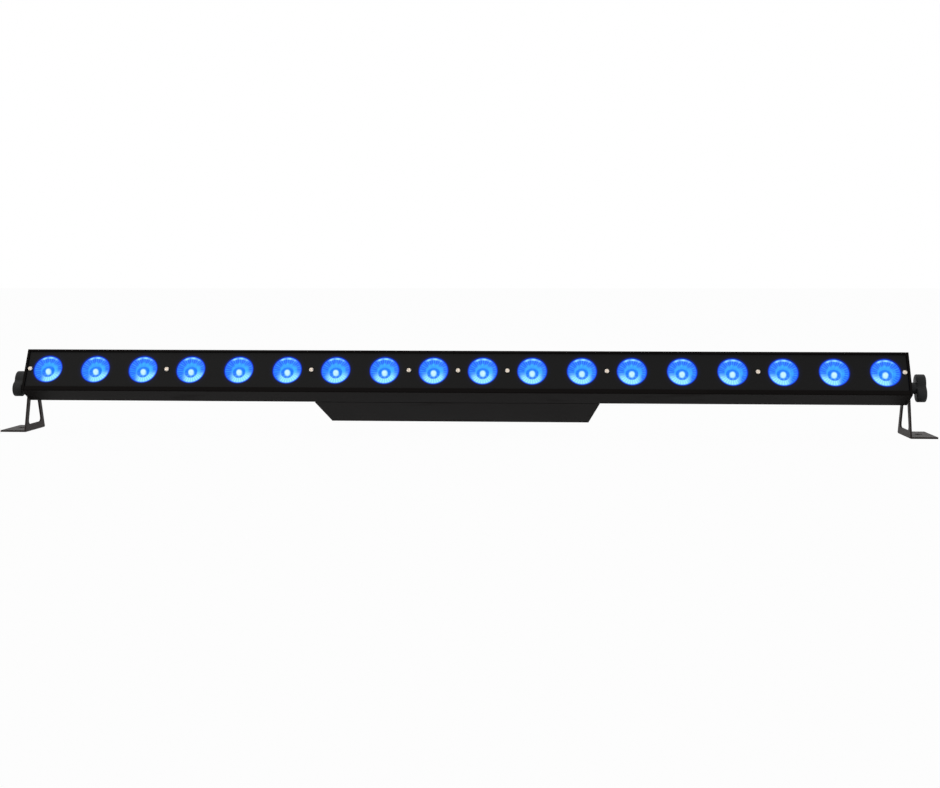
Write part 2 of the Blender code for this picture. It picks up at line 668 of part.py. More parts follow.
def make_bracket(side, sign, pivot):
    """A sheet bracket: the upright plate beside the end plate and the foot bent outwards along the floor."""
    name = "bracket_" + side
    mesh = outline_mesh(name, bracket_outline(), SHEET)
    place = Vector((sign * (PLATE_INNER + SHEET / 2.0), 0.0, -PIVOT_HEIGHT))
    bracket = add_object(name, mesh, place, pivot, BRACKET_BLACK)
    length = FOOT_LENGTH + SHEET * 0.75
    foot = box_mesh(name + "_foot", (length, 2.0 * FOOT_HALF_WIDTH, SHEET))
    middle = sign * (PLATE_OUTER + FOOT_LENGTH - length / 2.0)
    foot_place = (middle, 0.0, SHEET / 2.0 - PIVOT_HEIGHT)
    combine(bracket, cutter(name + "_foot", foot, foot_place, pivot), "UNION")
    hole = rod_mesh(name + "_hole", FOOT_HOLE_RADIUS, SHEET * 3.0, Matrix.Identity(4), 20)
    hole_place = (sign * (PLATE_OUTER + FOOT_LENGTH / 2.0), 0.0, -PIVOT_HEIGHT)
    combine(bracket, cutter(name + "_hole", hole, hole_place, pivot), "DIFFERENCE")


def ring_profile(inner, outer, start, end):
    return [(inner, end), (outer, end), (outer, start), (inner, start), (inner, end)]


def make_clamp(side, sign, pivot):
    """What clamps a bracket: a nut in the bar, a friction spacer, a washer and the winged knob with its stud."""
    axis = X_AXIS if sign > 0 else X_AXIS @ Matrix.Rotation(math.pi, 4, "X")
    origin = (0.0, 0.0, 0.0)
    spacer = ring_profile(STUD_HOLE_RADIUS, SPACER_RADIUS, END_FACE + GAP, PLATE_INNER - GAP)
    turned("friction_spacer_" + side, spacer, origin, pivot, WASHER_BLACK, axis, 24)
    washer_start = PLATE_OUTER + GAP
    washer_end = washer_start + WASHER_THICKNESS
    washer = ring_profile(STUD_HOLE_RADIUS, WASHER_RADIUS, washer_start, washer_end)
    turned("knob_washer_" + side, washer, origin, pivot, STEEL, axis, 20)
    nut_end = BAR_LENGTH / 2.0
    thread = STUD_HOLE_RADIUS / math.cos(math.pi / NUT_SIDES)
    nut = ring_profile(thread, NUT_RADIUS, nut_end - NUT_THICKNESS, nut_end)
    turned("clamp_nut_" + side, nut, origin, pivot, STEEL, axis, NUT_SIDES)
    make_knob(side, sign, washer_end + GAP, nut_end - NUT_THICKNESS, pivot)


def make_knob(side, sign, start, stud_end, pivot):
    name = "clamp_knob_" + side
    wings_start = start + KNOB_HUB_LENGTH
    outline = []
    for step in range(36):
        angle = math.tau * step / 36
        reach = KNOB_MEAN_RADIUS + KNOB_WING * math.cos(KNOB_WINGS * (angle - KNOB_PHASE[side]))
        outline.append((reach * math.cos(angle), reach * math.sin(angle)))
    mesh = outline_mesh(name, [outline], KNOB_THICKNESS)
    place = (sign * (wings_start + KNOB_THICKNESS / 2.0), 0.0, 0.0)
    knob = add_object(name, mesh, place, pivot, KNOB_PLASTIC)
    hub_end = wings_start + KNOB_THICKNESS / 2.0
    hub = rod_mesh(name + "_hub", KNOB_HUB_RADIUS, hub_end - start, X_AXIS, 20)
    hub_place = (sign * (hub_end + start) / 2.0, 0.0, 0.0)
    combine(knob, cutter(name + "_hub", hub, hub_place, pivot), "UNION")
    stud_start = start + KNOB_HUB_LENGTH / 2.0
    stud = rod_mesh(name + "_stud", STUD_RADIUS, stud_start - stud_end, X_AXIS, 16)
    stud_place = (sign * (stud_start + stud_end) / 2.0, 0.0, 0.0)
    combine(knob, cutter(name + "_stud", stud, stud_place, pivot), "UNION")


def main():
    pivot_place = (0.0, PIVOT_Y, PIVOT_HEIGHT)
    bar = frame_empty("bar_frame", pivot_place, -TILT)
    pivot = frame_empty("bracket_frame", pivot_place)
    make_housing(bar)
    make_front_panel(bar)
    for index in range(LENS_COUNT):
        make_lens(index, bar)
    for index in range(LENS_COUNT // LENSES_PER_BOARD):
        make_led_board(index, bar)
    for index, x in enumerate(screw_places()):
        make_panel_screw(index, x, bar)
    make_driver_box(bar)
    make_rear_panel(bar)
    make_socket("data_in_socket", DATA_IN_X, bar, SOCKET_BLACK)
    make_socket("data_out_socket", DATA_OUT_X, bar, SOCKET_BLACK)
    make_socket("mains_inlet", MAINS_INLET_X, bar, SOCKET_BLUE)
    make_socket("mains_outlet", MAINS_OUTLET_X, bar, SOCKET_GREY)
    make_display(bar)
    make_control_board(bar)
    for index, (x, height) in enumerate(button_places()):
        make_button(index + 1, x, height, bar)
    make_fuse_holder(bar)
    make_power_board(bar)
    make_lamp_cable(bar)
    for side, sign in (("left", -1.0), ("right", 1.0)):
        make_end_plate(side, sign, bar)
        make_bracket(side, sign, pivot)
        make_clamp(side, sign, pivot)


main()
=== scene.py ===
"""LED strip batten: finishes, lit lenses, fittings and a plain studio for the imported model."""

import json
import math

import bmesh
import bpy
from mathutils import Matrix, Vector


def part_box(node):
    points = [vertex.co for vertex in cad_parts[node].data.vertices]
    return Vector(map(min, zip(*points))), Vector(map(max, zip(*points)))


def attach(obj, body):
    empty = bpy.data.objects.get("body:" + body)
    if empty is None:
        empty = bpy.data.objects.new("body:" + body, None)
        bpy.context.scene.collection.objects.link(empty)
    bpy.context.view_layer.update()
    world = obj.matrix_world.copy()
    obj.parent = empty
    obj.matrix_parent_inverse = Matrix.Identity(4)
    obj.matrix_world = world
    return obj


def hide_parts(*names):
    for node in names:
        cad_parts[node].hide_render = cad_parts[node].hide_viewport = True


bl_info = {
    "name": "LED Strip Batten",
    "version": (1, 0, 0),
    "blender": (4, 5, 0),
    "location": "View3D > Sidebar > Batten",
    "description": "Builds the visible finish of an LED strip batten around its frame",
    "category": "Object",
}

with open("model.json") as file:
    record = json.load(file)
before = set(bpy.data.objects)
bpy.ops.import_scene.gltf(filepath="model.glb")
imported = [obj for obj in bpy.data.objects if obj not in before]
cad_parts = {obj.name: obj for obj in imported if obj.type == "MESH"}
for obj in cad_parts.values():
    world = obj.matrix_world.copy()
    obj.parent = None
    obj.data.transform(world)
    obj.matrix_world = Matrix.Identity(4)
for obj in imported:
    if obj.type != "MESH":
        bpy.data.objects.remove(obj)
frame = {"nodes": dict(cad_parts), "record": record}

JOINTS = {joint["name"]: joint for joint in frame["record"]["behaviour"]["joints"]}
PIVOT = Vector(JOINTS["bracket_right_tilt"]["pos_m"])
REARWARD = Vector(JOINTS["fuse_carrier_pull"]["axis"]).normalized()
FACE_UP = Vector((1.0, 0.0, 0.0)).cross(REARWARD)
LENS_NODES = sorted(node for node in frame["nodes"] if node.startswith("lens_"))
SCREW_NODES = sorted(node for node in frame["nodes"] if node.startswith("panel_screw_"))
BUTTON_NODES = sorted(node for node in frame["nodes"] if node.startswith("menu_button_"))
SIDES = (("left", -1.0), ("right", 1.0))


def middle(node):
    """The middle of a node's box at rest."""
    low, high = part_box(node)
    return (Vector(low) + Vector(high)) / 2.0


LENS_PITCH = (middle(LENS_NODES[-1]).x - middle(LENS_NODES[0]).x) / (len(LENS_NODES) - 1)
LENS_RADIUS = 0.0165
PANEL_DEPTH = 0.0015
LENS_RISE = 0.0015
CLEARANCE = 0.0003
JOINT_CLEARANCE = 0.00005

# The look of a lit lens: ribs round it, and how far its pool (a painted reflection of the emitter) and its
# side glow shift for each metre along the bar
RIBS = 30.0
POOL_LEAN = 0.9

# Screws: the head's radius and height, the shank's radius and length
HEAD_STEPS = 32
PANEL_SCREW = (0.0028, 0.0018, 0.0015, 0.0225)
SMALL_SCREW = (0.0024, 0.0014, 0.0012, 0.0010)
PANEL_SCREW_ROUGHNESS = 0.32
END_SCREW_PLACES = ((-0.033, -0.018), (-0.033, 0.018), (-0.015, -0.019), (-0.015, 0.019))
REAR_SCREW_ACROSS = (-0.147, -0.104, 0.074, 0.147)
REAR_SCREW_UP = (-0.0215, 0.0215)
SOCKET_SCREW_PLACES = ((-0.0100, 0.0125), (0.0100, -0.0125))

# Rear panel and sockets
HALF_SHEET = 0.00075
SOCKET_STAND_OFF = 0.0023
SOCKET_FLOOR = 0.0121
CONTACT_CIRCLE = 0.0047
SOCKETS = ("data_in_socket", "data_out_socket", "mains_inlet", "mains_outlet")

# Clamp knobs
KNOB_MEAN_RADIUS = 0.0114
KNOB_WING = 0.0052
KNOB_WINGS = 2
KNOB_STEPS = 96
KNOB_PHASE = {"left": math.radians(232.0), "right": math.radians(245.0)}
KNOB_HUB_RADIUS = 0.0066
KNOB_HUB_LENGTH = 0.0075
STUD_RADIUS = 0.003


def bar_matrix(x, depth=0.0, up=0.0):
    """Places a piece on the bar: X stays, Y runs to the rear and Z up the face, from the pivot."""
    turned = Matrix((Vector((1.0, 0.0, 0.0)), REARWARD, FACE_UP)).transposed().to_4x4()
    origin = Vector((x, PIVOT.y, PIVOT.z))
    return Matrix.Translation(origin) @ turned @ Matrix.Translation((0.0, depth, up))


def depth_of(point):
    """How far a point lies behind the pivot, along the bar's own depth."""
    return (Vector(point) - Vector((point[0], PIVOT.y, PIVOT.z))).dot(REARWARD)


# Shader building


class Value:
    """A number in a shader that takes part in ordinary sums."""

    def __init__(self, paint, socket):
        self.paint = paint
        self.socket = socket

    def math(self, operation, *others):
        made = self.paint.node("ShaderNodeMath", {"operation": operation}, dict(enumerate((self, *others))))
        return Value(self.paint, made.outputs[0])

    def __add__(self, other):
        return self.math("ADD", other)

    def __radd__(self, other):
        return self.math("ADD", other)

    def __sub__(self, other):
        return self.math("SUBTRACT", other)

    def __rsub__(self, other):
        return self.math("MULTIPLY", -1.0).math("ADD", other)

    def __mul__(self, other):
        return self.math("MULTIPLY", other)

    def __rmul__(self, other):
        return self.math("MULTIPLY", other)

    def __truediv__(self, other):
        return self.math("DIVIDE", other)

    def between(self, low, high):
        """Rises smoothly from 0 at low to 1 at high."""
        made = self.paint.node(
            "ShaderNodeMapRange",
            {"interpolation_type": "SMOOTHSTEP"},
            {"Value": self, "From Min": low, "From Max": high},
        )
        return Value(self.paint, made.outputs["Result"])

    def band(self, low, high, soft):
        """Is 1 from low to high, with soft edges."""
        return self.between(low - soft, low + soft) * (1.0 - self.between(high - soft, high + soft))


class Paint:
    """One node material on a Principled shader."""

    def __init__(self, name, roughness=0.5, metallic=0.0, specular=0.5):
        self.material = bpy.data.materials.new(name)
        self.material.use_nodes = True
        self.tree = self.material.node_tree
        self.shader = self.tree.nodes["Principled BSDF"]
        self.shader.inputs["Roughness"].default_value = roughness
        self.shader.inputs["Metallic"].default_value = metallic
        self.shader.inputs["Specular IOR Level"].default_value = specular
        self.coordinates = self.node("ShaderNodeTexCoord", {}, {}).outputs["Object"]

    def node(self, kind, settings, inputs):
        made = self.tree.nodes.new(kind)
        for name, setting in settings.items():
            setattr(made, name, setting)
        for name, value in inputs.items():
            self.feed(made.inputs[name], value)
        return made

    def feed(self, socket, value):
        if isinstance(value, Value):
            value = value.socket
        if isinstance(value, bpy.types.NodeSocket):
            self.tree.links.new(value, socket)
        else:
            socket.default_value = value

    def mix(self, factor, first, second):
        made = self.node("ShaderNodeMix", {"data_type": "RGBA"}, {0: factor, 6: first, 7: second})
        return made.outputs[2]

    def noise(self, scale, detail=2.0, stretch=(1.0, 1.0, 1.0)):
        mapped = self.node("ShaderNodeMapping", {}, {"Vector": self.coordinates, "Scale": stretch})
        made = self.node(
            "ShaderNodeTexNoise", {}, {"Vector": mapped.outputs[0], "Scale": scale, "Detail": detail}
        )
        return Value(self, made.outputs[0])

    def axis(self, direction, origin):
        """How far along a direction the surface lies from an origin."""
        offset = self.node(
            "ShaderNodeVectorMath", {"operation": "SUBTRACT"}, {0: self.coordinates, 1: tuple(origin)}
        )
        along = self.node(
            "ShaderNodeVectorMath", {"operation": "DOT_PRODUCT"}, {0: offset.outputs[0], 1: tuple(direction)}
        )
        return Value(self, along.outputs["Value"])

    def bump(self, height, strength, distance):
        made = self.node("ShaderNodeBump", {}, {"Height": height, "Strength": strength, "Distance": distance})
        self.tree.links.new(made.outputs[0], self.shader.inputs["Normal"])

    def set(self, **inputs):
        for name, value in inputs.items():
            self.feed(self.shader.inputs[name.replace("_", " ")], value)


def colour(values, alpha=1.0):
    return (*values[:3], alpha)


def shade(values, factor):
    return colour([value * factor for value in values])


def powder_coat(name, base, roughness, specular):
    """Sprayed paint: a fine pebbled skin, faint cloudy tone and a few duller patches."""
    paint = Paint(name, specular=specular)
    grain = paint.noise(1500.0, 3.0)
    clouds = paint.noise(14.0, 4.0)
    scuffs = paint.noise(55.0, 6.0, (0.25, 1.0, 1.0)).between(0.60, 0.72)
    tone = paint.mix(clouds, shade(base, 0.85), shade(base, 1.2))
    tone = paint.mix(scuffs * 0.35, tone, shade(base, 1.7))
    paint.set(Base_Color=tone, Roughness=clouds * 0.10 + scuffs * 0.08 + (roughness - 0.05))
    paint.bump(grain, 0.35, 0.00012)
    return paint.material


def moulded_plastic(name, base, roughness=0.5, specular=0.12):
    """Injection moulded plastic with a spark-eroded grain."""
    paint = Paint(name, specular=specular)
    grain = paint.noise(2600.0, 2.0)
    wear = paint.noise(90.0, 5.0).between(0.55, 0.75)
    paint.set(
        Base_Color=paint.mix(wear, shade(base, 0.9), shade(base, 1.35)),
        Roughness=grain * 0.14 + wear * 0.08 + (roughness - 0.08),
    )
    paint.bump(grain, 0.3, 0.00008)
    return paint.material


def plated_steel(name, base, roughness=0.17):
    """Zinc plating: bright, a little yellow, with a fine random brushing."""
    paint = Paint(name, metallic=1.0)
    brushing = paint.noise(2200.0, 3.0, (0.15, 1.0, 1.0))
    stain = paint.noise(120.0, 4.0)
    paint.set(
        Base_Color=paint.mix(stain, shade(base, 0.82), shade(base, 1.1)),
        Roughness=brushing * 0.2 + roughness,
    )
    paint.bump(brushing, 0.15, 0.00004)
    return paint.material


def circuit_board(name, base):
    """Solder mask over copper: rows of raised tracks in both directions."""
    paint = Paint(name, roughness=0.35)
    along = paint.axis((1.0, 0.0, 0.0), (0.0, 0.0, 0.0))
    tracks = (along * 900.0 + paint.noise(60.0, 1.0) * 9.0).math("SINE").between(0.55, 0.75)
    specks = paint.noise(500.0, 1.0).between(0.62, 0.66)
    tone = paint.mix(tracks * 0.5, colour(base), shade(base, 1.5))
    paint.set(Base_Color=paint.mix(specks, tone, (0.75, 0.72, 0.62, 1.0)), Roughness=tracks * 0.1 + 0.32)
    paint.bump(tracks, 0.4, 0.00005)
    return paint.material


def rubber(name, base):
    paint = Paint(name, specular=0.25)
    grain = paint.noise(1800.0, 4.0)
    dust = paint.noise(40.0, 5.0).between(0.5, 0.8)
    paint.set(Base_Color=paint.mix(dust, colour(base), shade(base, 1.6)), Roughness=grain * 0.12 + 0.66)
    paint.bump(grain, 0.3, 0.0001)
    return paint.material


def lens_place(paint):
    """Across and up from the nearest lens centre, in lens radii."""
    x = paint.axis((1.0, 0.0, 0.0), middle(LENS_NODES[0]))
    across = ((x / LENS_PITCH + 0.5).math("FRACT") - 0.5) * (LENS_PITCH / LENS_RADIUS)
    up = (paint.axis(FACE_UP, PIVOT) - LENS_RISE) / LENS_RADIUS
    return across, up


def distance(across, up):
    return (across * across + up * up).math("SQRT")


def lit_lens(name, colours):
    """A lens lit from behind: ribs, a bright core low in it, light pooled at its foot as a painted reflection
    of the emitter, and painted glints on its upper rim.
    """
    paint = Paint(name, roughness=0.18, specular=0.10)
    across, up = lens_place(paint)
    radius = distance(across, up)
    angle = up.math("ARCTAN2", across)
    core = distance(across, up + 0.14)
    ribs = (angle * RIBS).math("SINE") * 0.5 + 0.5
    coarse = (angle * 11.0 + radius * 5.0).math("SINE") * 0.5 + 0.5
    speckle = paint.noise(420.0, 3.0)
    rim_zone = radius.band(0.50, 0.95, 0.04)
    upper = up.between(-0.25, 0.55)
    tone = paint.mix(upper, colour(colours.light), colour(colours.violet))
    tone = paint.mix(rim_zone * ribs * 0.5, tone, colour(colours.deep))
    rays = (1.0 - ribs) * radius.band(0.40, 0.90, 0.06) * (0.3 + coarse * 0.5)
    tone = paint.mix(rays * 0.6, tone, colour(colours.cyan))
    inner = (1.0 - radius.between(0.44, 0.60)) * (0.25 + speckle * 0.6)
    tone = paint.mix(inner, tone, colour(colours.cyan))
    # The lean moves the painted reflection at the foot, and the side glow, with each lens's place along the
    # bar, as they look from one side
    lean = paint.axis((1.0, 0.0, 0.0), (0.0, 0.0, 0.0)) * POOL_LEAN
    side_glow = (across - lean * 0.4).between(0.15, 0.6) * radius.band(0.42, 0.68, 0.08)
    side_glow = side_glow * (1.0 - up.between(0.1, 0.6)) * (0.4 + ribs * 0.6)
    tone = paint.mix(side_glow * 0.9, tone, colour(colours.cyan))
    top_glow = up.between(0.25, 0.6) * radius.band(0.44, 0.58, 0.05) * coarse
    tone = paint.mix(top_glow * 0.6, tone, colour(colours.cyan))
    # Painted reflection: the emitter's light seen in the near wall of the lens, painted as a bright pool low
    # in it
    pool = (1.0 - up.between(-0.52, 0.02)) * radius.band(0.34, 0.93, 0.06) * (0.6 + ribs * 0.4)
    pool = pool * (1.0 - (across + lean).math("ABSOLUTE").between(0.45, 0.95))
    tone = paint.mix(pool, tone, colour(colours.pool))
    # Painted highlights: small glints dotted along the upper rim of the lens
    painted_rim_glints = up.between(0.62, 0.82) * radius.band(0.82, 0.93, 0.025) * (0.35 + 0.65 * coarse)
    tone = paint.mix(painted_rim_glints * 0.8, tone, colour(colours.pool))
    ring = core.band(0.24, 0.44, 0.03) * (0.8 + coarse * 0.2)
    tone = paint.mix(ring, tone, colour(colours.ring))
    bulb = (1.0 - core.between(0.12, 0.24)) * (0.55 + speckle * 0.6)
    tone = paint.mix(bulb, tone, colour(colours.core))
    edge = radius.between(0.93, 1.0)
    tone = paint.mix(edge, tone, colour(colours.deep))
    paint.set(Base_Color=colour(colours.body), Emission_Color=tone, Emission_Strength=1.0)
    paint.bump(ribs * rim_zone, 0.5, 0.0003)
    return paint.material


def panel_finish(name, base, glow):
    """The matt front panel, with blue light spilling onto it close round each lens."""
    paint = Paint(name, specular=0.10)
    grain = paint.noise(1900.0, 3.0)
    clouds = paint.noise(9.0, 4.0)
    across, up = lens_place(paint)
    radius = distance(across, up)
    spill = (1.0 - radius.between(0.98, 1.08)) * 0.6
    halo = (1.0 - radius.between(1.0, 1.35)) * 0.02
    paint.set(
        Base_Color=paint.mix(clouds, shade(base, 0.85), shade(base, 1.25)),
        Roughness=clouds * 0.12 + 0.5,
        Emission_Color=paint.mix(spill + halo, (0.0, 0.0, 0.0, 1.0), colour(glow)),
        Emission_Strength=1.0,
    )
    paint.bump(grain, 0.35, 0.0001)
    return paint.material


def display_finish(name, colours):
    """A dark glossy window with a row of lit digit bars."""
    paint = Paint(name, roughness=0.08)
    centre = middle("display_window")
    across = paint.axis((1.0, 0.0, 0.0), centre) * 1000.0
    up = paint.axis(FACE_UP, centre) * 1000.0
    cell = ((across / 8.0 + 0.5).math("FRACT") - 0.5) * 8.0
    inside = 1.0 - across.math("ABSOLUTE").between(15.6, 16.0)
    sides = cell.math("ABSOLUTE").band(1.9, 2.6, 0.1) * up.math("ABSOLUTE").band(0.5, 4.2, 0.1)
    bars = up.math("ABSOLUTE").band(4.6, 5.3, 0.1) * (1.0 - cell.math("ABSOLUTE").between(1.6, 1.8))
    rear = paint.axis(REARWARD, centre).between(0.0045, 0.0048)
    lit = (sides + bars).math("MINIMUM", 1.0) * inside * rear
    smear = paint.noise(35.0, 5.0)
    paint.set(
        Base_Color=colour(colours.display),
        Emission_Color=paint.mix(lit, (0.0, 0.0, 0.0, 1.0), (0.9, 0.05, 0.03, 1.0)),
        Emission_Strength=1.0,
        Roughness=smear * 0.12 + 0.04,
    )
    return paint.material


# Mesh building


def add_piece(name, mesh, material, body, *replaced):
    """A finished piece at the origin that rides on a body and stands for the nodes named."""
    piece = bpy.data.objects.new(name, mesh)
    bpy.context.scene.collection.objects.link(piece)
    mesh.materials.clear()
    mesh.materials.append(material)
    if replaced:
        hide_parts(*replaced)
    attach(piece, body)
    return piece


def to_mesh(bm, name, matrix, smooth=math.radians(35.0)):
    bmesh.ops.transform(bm, matrix=matrix, verts=bm.verts)
    mesh = bpy.data.meshes.new(name)
    bm.to_mesh(mesh)
    bm.free()
    mesh.shade_smooth()
    mesh.set_sharp_from_angle(angle=smooth)
    return mesh


def spun(profile, steps):
    """A solid turned about Y from (radius, depth) points that start and end on the axis."""
    bm = bmesh.new()
    verts = [bm.verts.new((radius, depth, 0.0)) for radius, depth in profile]
    edges = [bm.edges.new(pair) for pair in zip(verts, verts[1:])]
    bmesh.ops.spin(
        bm, geom=verts + edges, cent=(0, 0, 0), axis=(0, 1, 0), angle=math.tau, steps=steps, use_merge=True
    )
    bmesh.ops.remove_doubles(bm, verts=bm.verts, dist=1e-6)
    bmesh.ops.recalc_face_normals(bm, faces=bm.faces)
    return bm


def rod(bm, radius, start, end, place=(0.0, 0.0), segments=16, bevel=0.0):
    """A round bar along Y between two depths, at an across and up place."""
    turned = Matrix.Rotation(math.pi / 2.0, 4, "X")
    centre = Matrix.Translation((place[0], (start + end) / 2.0, place[1]))
    made = bmesh.ops.create_cone(
        bm,
        cap_ends=True,
        segments=segments,
        radius1=radius,
        radius2=radius,
        depth=abs(end - start),
        matrix=centre @ turned,
    )
    if bevel:
        caps = [e for e in bm.edges if e.verts[0] in made["verts"] and abs(e.calc_face_angle(0.0)) > 1.0]
        bmesh.ops.bevel(
            bm, geom=caps, offset=bevel, segments=2, affect="EDGES", profile=0.5, material=-1
        )


def block(bm, low, high):
    size = Vector(high) - Vector(low)
    centre = (Vector(high) + Vector(low)) / 2.0
    matrix = Matrix.Translation(centre) @ Matrix.Diagonal((*size, 1.0))
    bmesh.ops.create_cube(bm, size=1.0, matrix=matrix)


def cut_away(mesh, tools):
    """The mesh with the tools' shapes cut out of it."""
    worked = bpy.data.objects.new("worked", mesh)
    cutter = bpy.data.objects.new("cutter", tools)
    for made in (worked, cutter):
        bpy.context.scene.collection.objects.link(made)
    step = worked.modifiers.new("cut", "BOOLEAN")
    step.operation = "DIFFERENCE"
    step.object = cutter
    bpy.context.view_layer.update()
    evaluated = worked.evaluated_get(bpy.context.evaluated_depsgraph_get())
    result = bpy.data.meshes.new_from_object(evaluated)
    for made in (worked, cutter):
        bpy.data.objects.remove(made, do_unlink=True)
    return result


def placed(mesh, matrix, name):
    copy = mesh.copy()
    copy.name = name
    copy.transform(matrix)
    return copy


def softened(node, body, material, width, segments=3):
    """A node's own shape with its edges rounded off, standing for that node."""
    bm = bmesh.new()
    bm.from_mesh(frame["nodes"][node].data)
    bmesh.ops.remove_doubles(bm, verts=bm.verts, dist=1e-6)
    bmesh.ops.dissolve_limit(bm, angle_limit=math.radians(0.5), verts=bm.verts, edges=bm.edges)
    mesh = to_mesh(bm, node + "_finish", Matrix.Identity(4))
    piece = add_piece(node + "_finish", mesh, material, body, node)
    step = piece.modifiers.new("soft edges", "BEVEL")
    step.width = width
    step.segments = segments
    step.limit_method = "ANGLE"
    step.angle_limit = math.radians(32.0)
    step.harden_normals = True
    return piece


def finish_node(node, material):
    """Gives a node that keeps its own shape a better finish."""
    holder = frame["nodes"][node]
    holder.data.materials.clear()
    holder.data.materials.append(material)


def lens_mesh(sizes):
    """A collimator: a bulb in a well, a fluted cone out to the rim, the seat flange and a tail."""
    face = depth_of(middle("front_panel"))
    emitter = depth_of(middle("led_board_1")) - 0.0025
    radius = LENS_RADIUS
    profile = [
        (0.0, face + 0.0006),
        (radius * 0.12, face + 0.0007),
        (radius * 0.21, face + 0.0012),
        (radius * 0.26, face + 0.0021),
        (radius * 0.29, face + 0.0032),
        (radius * 0.34, face + 0.0031),
        (radius * 0.40, face + 0.0020),
        (radius * 0.50, face + 0.0013),
        (radius * 0.62, face + 0.0008),
        (radius * 0.76, face + 0.0003),
        (radius * 0.90, face - 0.0001),
        (radius * 0.95, face - 0.0003),
        (radius * 0.99, face - 0.0001),
        (radius, face + 0.0010),
        (radius + 0.0013, face + 0.0011),
        (radius + 0.0013, face + 0.0030),
        (radius - 0.0010, face + 0.0031),
        (radius * 0.72, face + 0.0090),
        (radius * 0.33, emitter),
        (0.0, emitter),
    ]
    bm = spun(profile, sizes.flutes * 2)
    step = math.tau / (sizes.flutes * 2)
    for vert in bm.verts:
        reach = math.hypot(vert.co.x, vert.co.z)
        if radius * 0.55 < reach < radius * 0.93 and vert.co.y < face + 0.002:
            if round(math.atan2(vert.co.z, vert.co.x) / step) % 2:
                vert.co.y += sizes.flute_depth
    return to_mesh(bm, "lens_optic", Matrix.Identity(4), math.radians(50.0))


def pan_screw_mesh(head_radius, head_height, shank_radius, shank_length):
    """A domed pan head with a cross recess, its seat at depth 0 and its shank running back."""
    profile = [
        (0.0, -head_height),
        (head_radius * 0.45, -head_height * 0.97),
        (head_radius * 0.75, -head_height * 0.82),
        (head_radius * 0.94, -head_height * 0.5),
        (head_radius, -head_height * 0.15),
        (head_radius * 0.97, 0.0),
        (shank_radius, 0.0),
        (shank_radius, shank_length * 0.95),
        (shank_radius * 0.7, shank_length),
        (0.0, shank_length),
    ]
    bm = spun(profile, HEAD_STEPS)
    for vert in bm.verts:
        across, up = vert.co.x, vert.co.z
        reach = math.hypot(across, up)
        if vert.co.y < -head_height * 0.8 and reach < head_radius * 0.6:
            if min(abs(across), abs(up)) < head_radius * 0.1:
                vert.co.y += head_height * 0.45
    return to_mesh(bm, "pan_screw", Matrix.Identity(4), math.radians(50.0))


def knob_mesh(side, sign):
    """A winged clamp knob: blunt wings with round edges and a dished face, its hub and its stud."""
    low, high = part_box("clamp_knob_" + side)
    outer = max(abs(low[0]), abs(high[0]))
    inner = min(abs(low[0]), abs(high[0]))
    washer_low, washer_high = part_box("knob_washer_" + side)
    hub_start = max(abs(washer_low[0]), abs(washer_high[0])) + CLEARANCE
    wings_start = hub_start + KNOB_HUB_LENGTH
    phase = KNOB_PHASE[side]
    levels = (
        (wings_start, 0.90),
        (wings_start + 0.0004, 0.96),
        (wings_start + 0.0012, 0.99),
        (outer - 0.0014, 0.99),
        (outer - 0.0005, 0.955),
        (outer, 0.89),
        (outer, 0.66),
        (outer - 0.0008, 0.58),
    )
    along_x = Matrix.Rotation(math.pi / 2.0, 4, "Y")
    bm = bmesh.new()
    rings = []
    for x, scale in levels:
        ring = []
        for step in range(KNOB_STEPS):
            angle = math.tau * step / KNOB_STEPS
            wing = math.cos(KNOB_WINGS * (angle - phase))
            reach = scale * (KNOB_MEAN_RADIUS + KNOB_WING * wing)
            ring.append(bm.verts.new((x, reach * math.cos(angle), reach * math.sin(angle))))
        rings.append(ring)
    for first, second in zip(rings, rings[1:]):
        for index in range(KNOB_STEPS):
            after = (index + 1) % KNOB_STEPS
            bm.faces.new((first[index], first[after], second[after], second[index]))
    bm.faces.new(rings[0][::-1])
    bm.faces.new(rings[-1])
    for radius, start, end, segments in (
        (KNOB_HUB_RADIUS, hub_start, wings_start - JOINT_CLEARANCE, 32),
        (STUD_RADIUS, inner, hub_start - JOINT_CLEARANCE, 24),
    ):
        bmesh.ops.create_cone(
            bm,
            cap_ends=True,
            segments=segments,
            radius1=radius,
            radius2=radius,
            depth=end - start,
            matrix=Matrix.Translation(((start + end) / 2.0, 0.0, 0.0)) @ along_x,
        )
    if sign < 0:
        bmesh.ops.scale(bm, vec=(-1.0, 1.0, 1.0), verts=bm.verts)
    bmesh.ops.recalc_face_normals(bm, faces=bm.faces)
    place = Matrix.Translation((0.0, PIVOT.y, PIVOT.z))
    return to_mesh(bm, "clamp_knob_%s_grip" % side, place)


# What a user can change


